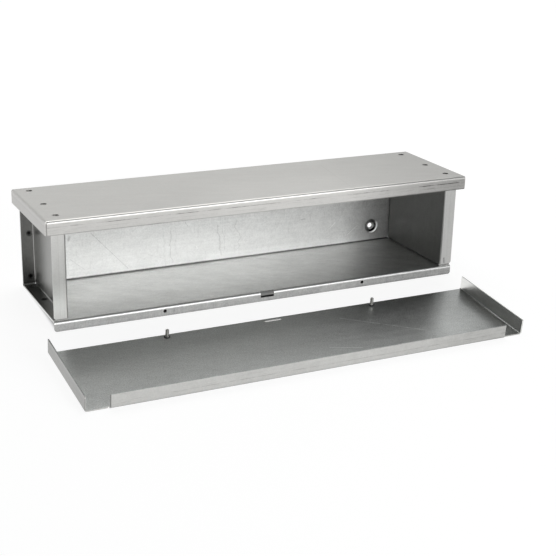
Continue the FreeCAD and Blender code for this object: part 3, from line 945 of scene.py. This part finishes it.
    def clinch_shading(self, side: Side) -> tuple[Mark, ...]:
        """Painted shade in the seats of the clinch points on the rear and bottom flanges of one end.

        Args:
            side: which end.

        Returns:
            The marks.
        """
        _, sign = side.value
        x, rear, low = sign * self.clinch_x, self.depth - 2 * self.gauge, 2 * self.gauge
        spots = [(rear, z) for z in (self.clinch_margin, self.rise / 2 + self.clinch_offset,
                                     self.rise - self.clinch_margin)]
        spots += [(y, low) for y in (self.clinch_margin, self.depth / 2 + self.clinch_offset)]
        return tuple(Mark.along((x, x + SPOT_LENGTH), y, z, self.clinch_radius, -0.58) for y, z in spots)

    def bend_shade_and_die_lines(self, side: Side) -> tuple[Mark, ...]:
        """Painted shade in the bends of one web along the wall and the jamb, and the die lines down that jamb.

        Args:
            side: which end.

        Returns:
            The marks.
        """
        _, sign = side.value
        low, high, rear = 0.003, self.rise - self.flange, self.depth - self.gauge
        wall_bend_shade, jamb_bend_shade = (self.web_x, rear, 0.0024, -0.55), (self.web_x, 0.0, 0.0020, -0.26)
        die_lines = ((0.2904, 0.0, 0.0006, -0.07), (0.2963, 0.0, 0.0006, -0.09))
        return tuple(Mark((sign * x, y, low), (sign * x, y, high), half, strength)
                     for x, y, half, strength in (wall_bend_shade, jamb_bend_shade, *die_lines))

    def plate_finish(self, side: Side, colour: Colour, painted_web_shade: float, marks: tuple[Mark, ...] = ()) -> ZincSheet:
        """Finish of an end plate, rolled upright, with its web painted darker than the jamb as shade.

        Args:
            side: which end.
            colour: its colour at the jamb.
            painted_web_shade: how much darker the web is painted, as shade.
            marks: further marks of that plate.

        Returns:
            The finish.
        """
        label, _ = side.value
        return ZincSheet(f"{label}_plate_zinc", colour, 0.31, rolling=Rolling.UPRIGHT, contrast=0.16,
                         # painted shade on the web
                         painted_shading=(PaintedShading("Y", (0.0004, 0.0020), painted_web_shade),),
                         marks=(*self.clinch_shading(side), *self.bend_shade_and_die_lines(side), *marks))

    def seal_strip(self) -> bpy.types.Object:
        """Build the strip of sheet above the seal slot, pressed in from the floor's front edge.

        Returns:
            The new object.
        """
        run, fall = self.strip_front - self.notch_rear, -self.strip_drop - self.gauge
        reach = self.gauge / math.hypot(run, fall)
        inner = (self.strip_front - fall * reach, -self.strip_drop + run * reach)
        under = inner[1] + (self.notch_rear - inner[0]) * fall / run
        section = ((self.notch_rear, self.gauge), (self.strip_front, -self.strip_drop),
                   inner, (self.notch_rear, under))
        shape = bmesh.new()
        face = shape.faces.new([shape.verts.new((-self.notch_half, y, z)) for y, z in section])
        grown = bmesh.ops.extrude_face_region(shape, geom=[face], use_keep_orig=True)["geom"]
        bmesh.ops.translate(shape, vec=(2 * self.notch_half, 0.0, 0.0),
                            verts=[item for item in grown if isinstance(item, bmesh.types.BMVert)])
        bmesh.ops.recalc_face_normals(shape, faces=shape.faces)
        lower = [edge for edge in shape.edges if all(vert.co.z < under - MERGE_DISTANCE for vert in edge.verts)
                 and abs(edge.verts[0].co.x - edge.verts[1].co.x) > self.notch_half]
        bmesh.ops.bevel(shape, geom=lower, offset=self.strip_edge, segments=3, profile=0.5, affect="EDGES",
                        material=-1)
        return add_piece("seal_strip", shape, self.frame.matrix)

    def dress(self, nodes: dict[str, bpy.types.Object], effects: Effects) -> None:
        """Give every sheet its finish and add the strip above the seal slot.

        Args:
            nodes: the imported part's nodes by name.
            effects: the shared node groups.
        """
        scuffed_corner = (Mark((0.2923, 0.0, 0.0142), (0.2930, 0.0, 0.0067), 0.0013, -0.65),)
        finishes = {
            "trough_body": self.body_finish(),
            "top_shield": self.top_finish(),
            # the last number of each plate is the painted shade on its web
            "end_plate_left": self.plate_finish(Side.LEFT, (0.545, 0.545, 0.53), 0.38),
            "end_plate_right": self.plate_finish(Side.RIGHT, (0.427, 0.427, 0.418), 0.414, scuffed_corner),
        }
        for name, finish in finishes.items():
            paint(nodes[name], finish.material(effects, self.frame))
            LOG.info("dressed %s as %s", name, finish.name)
        strip = self.seal_strip()
        # painted shade: the strip's colour is darkened to show it in shade
        paint(strip, ZincSheet("seal_strip_painted_shade", (0.30, 0.30, 0.293), 0.48).material(effects, self.frame))
        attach(strip, BODY)
        LOG.info("built %s", strip.name)


@dataclass
class Cover:
    """The cover, which lies on its front bend and its screw heads, inner face up."""

    depth: float = 0.1496
    gauge: float = 0.0016
    bend: float = 0.0032
    flange: float = 0.019
    half_width: float = 0.3076
    screw_edge: float = 0.007
    head_radius: float = 0.0047
    head_bevel: float = 0.0017
    head_height: float = 0.0029

    @property
    def frame(self) -> SheetFrame:
        """Own axes of the cover.

        Returns:
            The middle of its lower edge, on its outer face, and the slope.
        """
        low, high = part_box("cover")
        reach = self.screw_edge + self.head_radius - self.head_bevel
        slope = settle(self.bend + self.head_height, self.depth - self.bend - reach, self.bend)
        base = ((low.x + high.x) / 2, high.y,
                reach * math.sin(slope) + self.head_height * math.cos(slope))
        return SheetFrame(base, slope)

    def finish(self) -> ZincSheet:
        """Finish of the cover.

        Returns:
            The finish, with light scratches on the inner face, a die line along the long flange, painted
            highlights along the end flanges' top edges, painted shade along the long flange's lower edge and at
            its left end, painted light on the inner face of the right end flange, level faces painted lighter and
            cooler than upright ones, and painted shade darker to the right, on the left end's outer face and
            towards the long flange.
        """
        face, front, die_line = self.gauge, -self.depth, 0.45 * self.flange
        side, top = self.half_width - self.gauge / 2, self.flange - 0.0004
        long_flange = (-0.277, 0.277)
        return ZincSheet("cover_zinc", (0.546, 0.546, 0.530), 0.31, contrast=0.20, grain=0.9,
                         # painted light: level faces lighter and cooler than upright ones
                         painted_level_light=(1.11, 1.139, 1.164), painted_shading=(
            # painted shade: darker on the left end's outer face, to the right and towards the long flange
            PaintedShading("X", (0.0006 - side, -side), 0.40),
            PaintedShading("X", (0.05, 0.28), 0.17),
            PaintedShading("X", (0.21, 0.28), 0.21, Faces.LEVEL),
            # painted light on the inner face of the right end flange, taken off again on its outer face
            PaintedShading("X", (side - 0.0014, side - 0.0008), -0.80, Faces.UPRIGHT),
            PaintedShading("X", (side - 0.0003, side + 0.0004), 0.80, Faces.UPRIGHT),
            PaintedShading("Y", (-0.085, front), 0.17, Faces.LEVEL),
        ), strokes=(
            Strokes(Faces.LEVEL, 0.5, 0.04, 0.007, (0.32, 0.68), 0.05),
            Strokes(Faces.LEVEL, 0.62, 0.035, 0.0014, (0.66, 0.74), 0.14),
            Strokes(Faces.UPRIGHT, 0.03, 0.04, 0.0018, (0.56, 0.70), -0.10),
        ), marks=(
            Mark((0.090, -0.029, face), (0.135, -0.061, face), 0.0008, 0.55),
            Mark((0.135, -0.061, face), (0.184, -0.096, face), 0.0008, 0.55, broken=True),
            Mark((0.037, -0.099, face), (0.078, -0.114, face), 0.0008, 0.50),
            # painted highlights along the top edges of the end flanges
            Mark((-side, 0.0, top), (-side, front, top), 0.0011, 0.60),
            Mark((side, 0.0, top), (side, front, top), 0.0011, 0.30),
            Mark.along(long_flange, front, die_line, 0.0005, -0.30, broken=True),
            # painted shade along the long flange's lower edge
            Mark.along(long_flange, front, 0.0006, 0.0030, -0.22),
            # painted shadow down the long flange's left end
            Mark((-0.2772, front, 0.003), (-0.2772, front, self.flange), 0.0010, -0.55),
        ))

    def dress(self, nodes: dict[str, bpy.types.Object], effects: Effects) -> None:
        """Give the cover its finish.

        Args:
            nodes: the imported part's nodes by name.
            effects: the shared node groups.
        """
        paint(nodes["cover"], self.finish().material(effects, self.frame))
        LOG.info("dressed cover")


@dataclass
class CoverScrews:
    """The two slotted machine screws that stay in the cover, and the nylon rings that keep them there."""

    cover: Cover
    spacing: float = 0.3048
    crest_radius: float = 0.0024
    core_radius: float = 0.00196
    pitch: float = 0.00106
    length: float = 0.0127
    point: float = 0.0007
    sunk: float = 0.0003
    slot_width: float = 0.0012
    slot_depth: float = 0.0013
    ring_radius: float = 0.0041
    ring_bore: float = 0.0025
    ring_height: float = 0.0010
    ring_edge: float = 0.0003
    ring_crease: float = math.radians(40.0)
    point_taper: float = 0.3
    round_steps: int = 36
    arc_degrees: int = 15

    def add_thread(self, shape: bmesh.types.BMesh) -> None:
        """Sweep the thread's ridge up a helix, cut it level at both ends and narrow its tip.

        Args:
            shape: the shape that it is added to.
        """
        ridge = ((self.core_radius, 0.0), (self.crest_radius, 0.40), (self.crest_radius, 0.52),
                 (self.core_radius, 0.92), (self.core_radius, 1.0))
        foot = -self.sunk - self.pitch
        chain = [shape.verts.new((radius, 0.0, foot + share * self.pitch)) for radius, share in ridge]
        edges = [shape.edges.new(pair) for pair in zip(chain, chain[1:])]
        turns = math.ceil((self.length + self.sunk) / self.pitch) + 1
        bmesh.ops.spin(shape, geom=chain + edges, cent=(0.0, 0.0, 0.0), axis=(0.0, 0.0, 1.0),
                       dvec=(0.0, 0.0, self.pitch / self.round_steps), angle=math.tau * turns,
                       steps=self.round_steps * turns)
        bmesh.ops.remove_doubles(shape, verts=shape.verts, dist=MERGE_DISTANCE)
        for height, away in ((-self.sunk, -1.0), (self.length, 1.0)):
            bmesh.ops.bisect_plane(shape, geom=shape.verts[:] + shape.edges[:] + shape.faces[:],
                                   plane_co=(0.0, 0.0, height), plane_no=(0.0, 0.0, away), clear_outer=True)
            rim = [edge for edge in shape.edges if edge.is_boundary
                   and all(abs(vert.co.z - height) < MERGE_DISTANCE for vert in edge.verts)]
            bmesh.ops.contextual_create(shape, geom=rim)
        for vert in shape.verts:
            over = (vert.co.z - self.length + self.point) / self.point
            if over > 0.0:
                vert.co.xy *= 1.0 - self.point_taper * over
        bmesh.ops.recalc_face_normals(shape, faces=shape.faces)

    def head(self) -> bmesh.types.BMesh:
        """Turn the round-edged head and cut its driver slot.

        Returns:
            The head, with its flat on top at height 0.
        """
        radius, edge, height = self.cover.head_radius, self.cover.head_bevel, self.cover.head_height
        arc = [math.radians(angle) for angle in range(0, 91, self.arc_degrees)]
        rounded = [(radius - edge + edge * math.cos(a), edge - height - edge * math.sin(a)) for a in arc]
        shape = bmesh.new()
        spin_profile(shape, [(0.0, 0.0), (radius, 0.0), *rounded, (0.0, -height)], self.round_steps, closed=False)
        half, floor = self.slot_width / 2, self.slot_depth - height
        for point, normal in (((half, 0.0, 0.0), (1.0, 0.0, 0.0)), ((-half, 0.0, 0.0), (1.0, 0.0, 0.0)),
                              ((0.0, 0.0, floor), (0.0, 0.0, 1.0))):
            bmesh.ops.bisect_plane(shape, geom=shape.verts[:] + shape.edges[:] + shape.faces[:],
                                   plane_co=point, plane_no=normal)
        inside = [face for face in shape.faces
                  if abs(face.calc_center_median().x) < half and face.calc_center_median().z < floor]
        bmesh.ops.delete(shape, geom=inside, context="FACES")
        self.line_slot(shape, half, floor)
        bmesh.ops.recalc_face_normals(shape, faces=shape.faces)
        return shape

    def line_slot(self, shape: bmesh.types.BMesh, half: float, floor: float) -> None:
        """Close the walls and the floor of the driver slot.

        Args:
            shape: the head, open along the slot.
            half: half of the slot's width.
            floor: height of the slot's floor.
        """
        for wall in (half, -half):
            rim = [edge for edge in shape.edges if edge.is_boundary
                   and all(abs(vert.co.x - wall) < NEAR for vert in edge.verts)]
            ends = [vert for vert in {v for edge in rim for v in edge.verts} if abs(vert.co.z - floor) < NEAR]
            bmesh.ops.contextual_create(shape, geom=[*rim, shape.edges.new(ends)])
        rim = [edge for edge in shape.edges if edge.is_boundary
               and all(abs(vert.co.z - floor) < NEAR and abs(vert.co.x) < half + NEAR for vert in edge.verts)]
        bmesh.ops.contextual_create(shape, geom=rim)

    def screw(self, name: str, place: Matrix) -> bpy.types.Object:
        """Build one screw.

        Args:
            name: name of the piece.
            place: turn and move into the part's frame.

        Returns:
            The new object.
        """
        shape = self.head()
        body = bmesh.new()
        self.add_thread(body)
        spare = bpy.data.meshes.new("thread")
        body.to_mesh(spare)
        body.free()
        shape.from_mesh(spare)
        bpy.data.meshes.remove(spare)
        return add_piece(name, shape, place)

    def ring(self, name: str, place: Matrix) -> bpy.types.Object:
        """Build one retainer ring.

        Args:
            name: name of the piece.
            place: turn and move into the part's frame.

        Returns:
            The new object.
        """
        low, high = self.cover.gauge, self.cover.gauge + self.ring_height
        shape = bmesh.new()
        spin_profile(shape, [(self.ring_bore, low), (self.ring_radius, low), (self.ring_radius, high),
                             (self.ring_bore, high)], self.round_steps, closed=True)
        upper = [edge for edge in shape.edges if all(abs(vert.co.z - high) < MERGE_DISTANCE for vert in edge.verts)
                 and abs(edge.verts[0].co.xy.length - edge.verts[1].co.xy.length) < MERGE_DISTANCE]
        bmesh.ops.bevel(shape, geom=upper, offset=self.ring_edge, segments=3, profile=0.5, affect="EDGES",
                        material=-1)
        return add_piece(name, shape, place, self.ring_crease)

    def build(self) -> None:
        """Build, place and dress both screws and both rings."""
        for side in Side:
            label, sign = side.value
            spot = self.cover.frame.matrix @ Matrix.Translation((sign * self.spacing / 2,
                                                                 -self.cover.screw_edge, 0.0))
            made = (
                (self.screw(f"threaded_screw_{label}", spot), f"cover_screw_{label}", "plated_screw",
                 PlatedScrew(f"plated_screw_{label}").material()),
                (self.ring(f"retainer_ring_{label}", spot), f"screw_retainer_{label}", "retainer_nylon",
                 DarkNylon(f"dark_nylon_{label}").material()),
            )
            for piece, node, slot, finish in made:
                paint(piece, finish)
                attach(piece, BODY)
                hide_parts(node)
                LOG.info("built %s in place of %s", piece.name, node)


@dataclass(frozen=True)
class SoftBox:
    """One soft box of the studio; a radiance of 1 is white."""

    name: str
    place: Point
    aim: Point
    side: Span
    radiance: float
    colour: Colour = (1.0, 1.0, 1.0)

    def hang(self) -> None:
        """Add the lamp."""
        light = bpy.data.lights.new(self.name, "AREA")
        light.shape = "RECTANGLE"
        light.size, light.size_y = self.side
        light.color = self.colour
        light.energy = self.radiance * math.pi * self.side[0] * self.side[1]
        box = bpy.data.objects.new(self.name, light)
        box.location = self.place
        box.rotation_euler = (Vector(self.aim) - Vector(self.place)).to_track_quat("-Z", "Y").to_euler()
        box.visible_camera = False
        bpy.context.scene.collection.objects.link(box)


@dataclass
class Studio:
    """Pale floor, soft light and the camera."""

    azimuth: float = -27.6262
    elevation: float = 23.661
    roll: float = -3.8446
    focal_px: float = 1213.93
    target: Point = (-0.0055447, -0.0331279, 0.060)
    distance: float = 1.6220812
    floor_side: float = 40.0
    paper: float = 0.20
    glow: float = 0.885
    shade_inset: float = 0.010
    sky: Colour = (0.174, 0.181, 0.182)
    horizon: Colour = (0.92, 0.92, 0.92)
    horizon_span: Span = (0.06, 0.14)
    sensor_mm: float = 36.0
    clip: Span = (0.05, 100.0)
    boxes: tuple[SoftBox, ...] = (
        SoftBox("front_soft_box", (0.593, -2.211, 0.772), (0.0, 0.0, 0.05), (1.81, 1.38), 2.84),
        SoftBox("overhead_soft_box", (0.348, 1.072, 2.169), (0.0, 0.0, 0.05), (1.97, 1.15), 2.2,
                (1.0, 0.994, 0.978)),
        SoftBox("rear_soft_box", (0.553, 2.065, 1.14), (0.0, 0.0, 0.05), (5.2, 2.24), 0.615,
                (1.0, 0.994, 0.978)),
    )

    def footprint(self, graph: Graph) -> bpy.types.NodeSocket:
        """Add nodes that mark the floor under the trough, which no light reaches; the glow is switched off there
        as a painted shadow.

        Args:
            graph: the floor material's tree.

        Returns:
            A mask that is 1 under the trough.
        """
        low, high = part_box("trough_body")
        place = graph.node("ShaderNodeSeparateXYZ")
        graph.feed(place.inputs[0], graph.node("ShaderNodeTexCoord").outputs["Object"])
        under = None
        for axis, start, end in (("X", low.x, high.x), ("Y", low.y, high.y)):
            for edge, inner in ((start, start + self.shade_inset), (end, end - self.shade_inset)):
                part = graph.remap(place.outputs[axis], (edge, inner), (0.0, 1.0), smooth=True)
                under = part if under is None else graph.math("MULTIPLY", under, part)
        return under

    def floor(self) -> None:
        """Make the floor, which shows white where no shadow falls."""
        shape = bmesh.new()
        bmesh.ops.create_grid(shape, x_segments=4, y_segments=4, size=self.floor_side / 2)
        mesh = bpy.data.meshes.new("studio_floor")
        shape.to_mesh(mesh)
        shape.free()
        floor = bpy.data.objects.new("studio_floor", mesh)
        bpy.context.scene.collection.objects.link(floor)
        material = bpy.data.materials.new("studio_paper")
        material.use_nodes = True
        material.node_tree.nodes.clear()
        g = Graph(material.node_tree)
        path = g.node("ShaderNodeLightPath").outputs
        seen = g.math("MAXIMUM", path["Is Camera Ray"],
                      g.math("MAXIMUM", path["Is Glossy Ray"], path["Is Transmission Ray"]))
        paper = g.node("ShaderNodeBsdfDiffuse")
        paper.inputs["Color"].default_value = (self.paper, self.paper, self.paper, 1.0)
        glow = g.node("ShaderNodeEmission")
        # painted shadow: no glow under the trough
        lit = g.math("SUBTRACT", 1.0, self.footprint(g))
        g.feed(glow.inputs["Strength"], g.math("MULTIPLY", g.math("MULTIPLY", seen, self.glow), lit))
        both = g.node("ShaderNodeAddShader")
        g.feed(both.inputs[0], paper.outputs[0])
        g.feed(both.inputs[1], glow.outputs[0])
        out = g.node("ShaderNodeOutputMaterial")
        g.feed(out.inputs["Surface"], both.outputs[0])
        paint(floor, material)

    def world(self) -> None:
        """Fill the room with a little cool light from all round, paler low down."""
        room = bpy.data.worlds.new("studio_room")
        room.use_nodes = True
        g = Graph(room.node_tree)
        back = room.node_tree.nodes["Background"]
        way = g.node("ShaderNodeSeparateXYZ")
        g.feed(way.inputs[0], g.node("ShaderNodeTexCoord").outputs["Generated"])
        height = g.remap(way.outputs["Z"], self.horizon_span, (0.0, 1.0), smooth=True)
        g.feed(back.inputs["Color"], g.blend(height, self.horizon, self.sky))
        bpy.context.scene.world = room

    def camera(self) -> None:
        """Set the camera at the photograph's viewing angle."""
        around, up, roll = (math.radians(a) for a in (self.azimuth, self.elevation, self.roll))
        back = Vector((math.sin(around) * math.cos(up), -math.cos(around) * math.cos(up), math.sin(up)))
        right = Vector((math.cos(around), math.sin(around), 0.0))
        over = back.cross(right)
        turned_right = right * math.cos(roll) - over * math.sin(roll)
        turned_over = right * math.sin(roll) + over * math.cos(roll)
        data = bpy.data.cameras.new("photo_camera")
        data.sensor_width = self.sensor_mm
        data.lens = self.focal_px / IMAGE_SIDE_PX * data.sensor_width
        data.clip_start, data.clip_end = self.clip
        eye = bpy.data.objects.new("photo_camera", data)
        place = Vector(self.target) + back * self.distance
        turn = Matrix((turned_right, turned_over, back)).transposed()
        eye.matrix_world = Matrix.Translation(place) @ turn.to_4x4()
        bpy.context.scene.collection.objects.link(eye)
        bpy.context.scene.camera = eye

    def build(self) -> None:
        """Build the floor, the light and the camera."""
        self.floor()
        self.world()
        for box in self.boxes:
            box.hang()
        self.camera()
        bpy.context.scene.view_settings.view_transform = "Standard"
        LOG.info("built the studio")


def main() -> None:
    """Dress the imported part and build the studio."""
    logging.basicConfig(level=logging.INFO, format="%(name)s: %(message)s")
    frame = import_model()
    effects = Effects()
    Trough().dress(frame["nodes"], effects)
    cover = Cover()
    cover.dress(frame["nodes"], effects)
    CoverScrews(cover).build()
    Studio().build()


if __name__ == "__main__":
    main()
